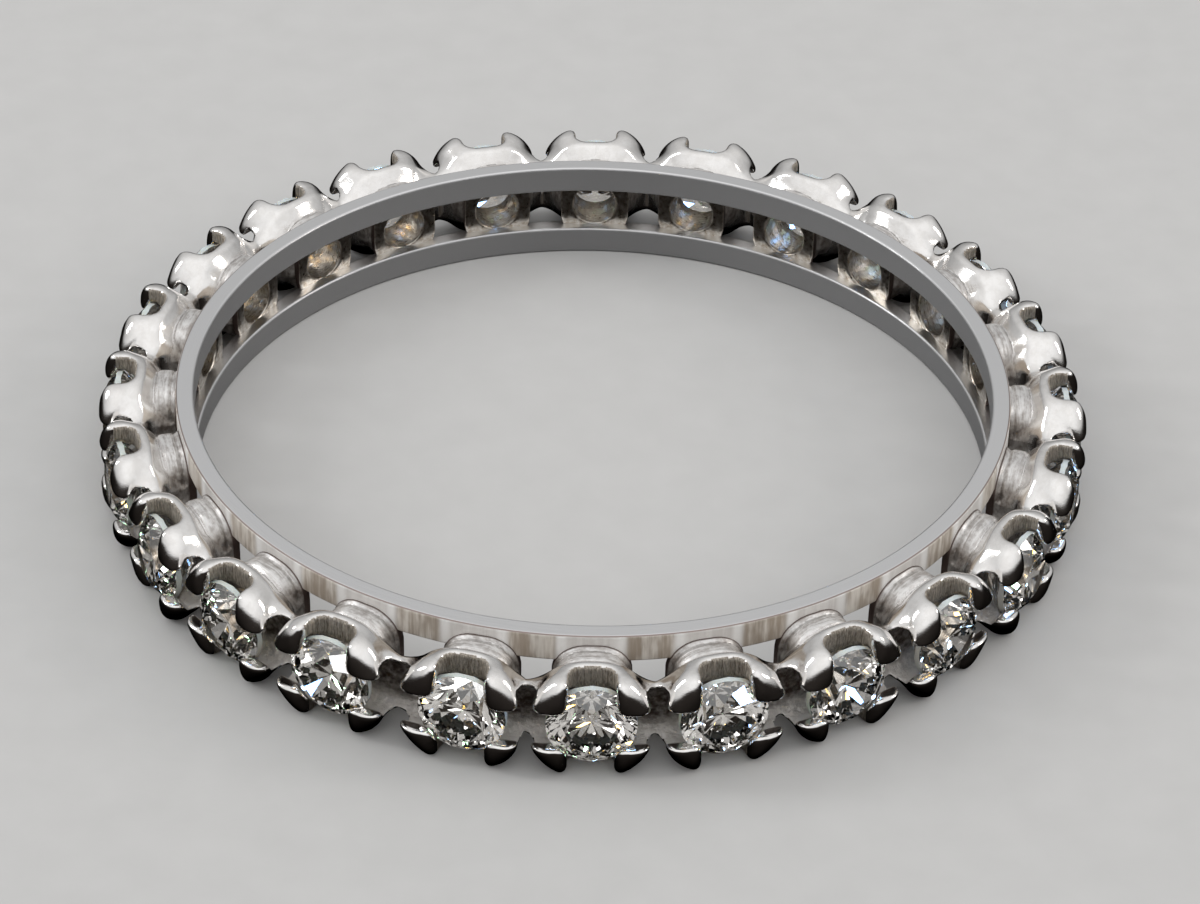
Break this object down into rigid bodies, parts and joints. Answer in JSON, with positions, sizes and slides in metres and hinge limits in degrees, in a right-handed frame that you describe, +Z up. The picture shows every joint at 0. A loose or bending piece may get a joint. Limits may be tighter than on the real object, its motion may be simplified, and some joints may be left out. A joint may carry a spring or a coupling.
{
  "type": "eternity ring",
  "caption": "Finger ring with a full circle of round brilliant stones in open claw heads, soldered between plain rails and open through the finger hole.",
  "frame": {"origin": "centre of the finger hole, in the plane of the lower rail's flat face that the ring lies on", "axes": "+Z up along the finger hole's axis; the middle of the first head is on -Y"},
  "size_m": [0.021, 0.021, 0.0023],
  "materials": {
    "metal": "white gold, polished on the claw heads, satin and lightly tool-marked on the rails, left rough in the cuts",
    "stone": "clear faceted diamond with a frosted girdle"
  },
  "bodies": {
    "root": {"setting": "metal", "stone_01": "stone", "stone_02": "stone", "stone_03": "stone", "stone_04": "stone", "stone_05": "stone", "stone_06": "stone", "stone_07": "stone", "stone_08": "stone", "stone_09": "stone", "stone_10": "stone", "stone_11": "stone", "stone_12": "stone", "stone_13": "stone", "stone_14": "stone", "stone_15": "stone", "stone_16": "stone", "stone_17": "stone", "stone_18": "stone", "stone_19": "stone", "stone_20": "stone", "stone_21": "stone", "stone_22": "stone", "stone_23": "stone", "stone_24": "stone"}
  },
  "joints": []
}
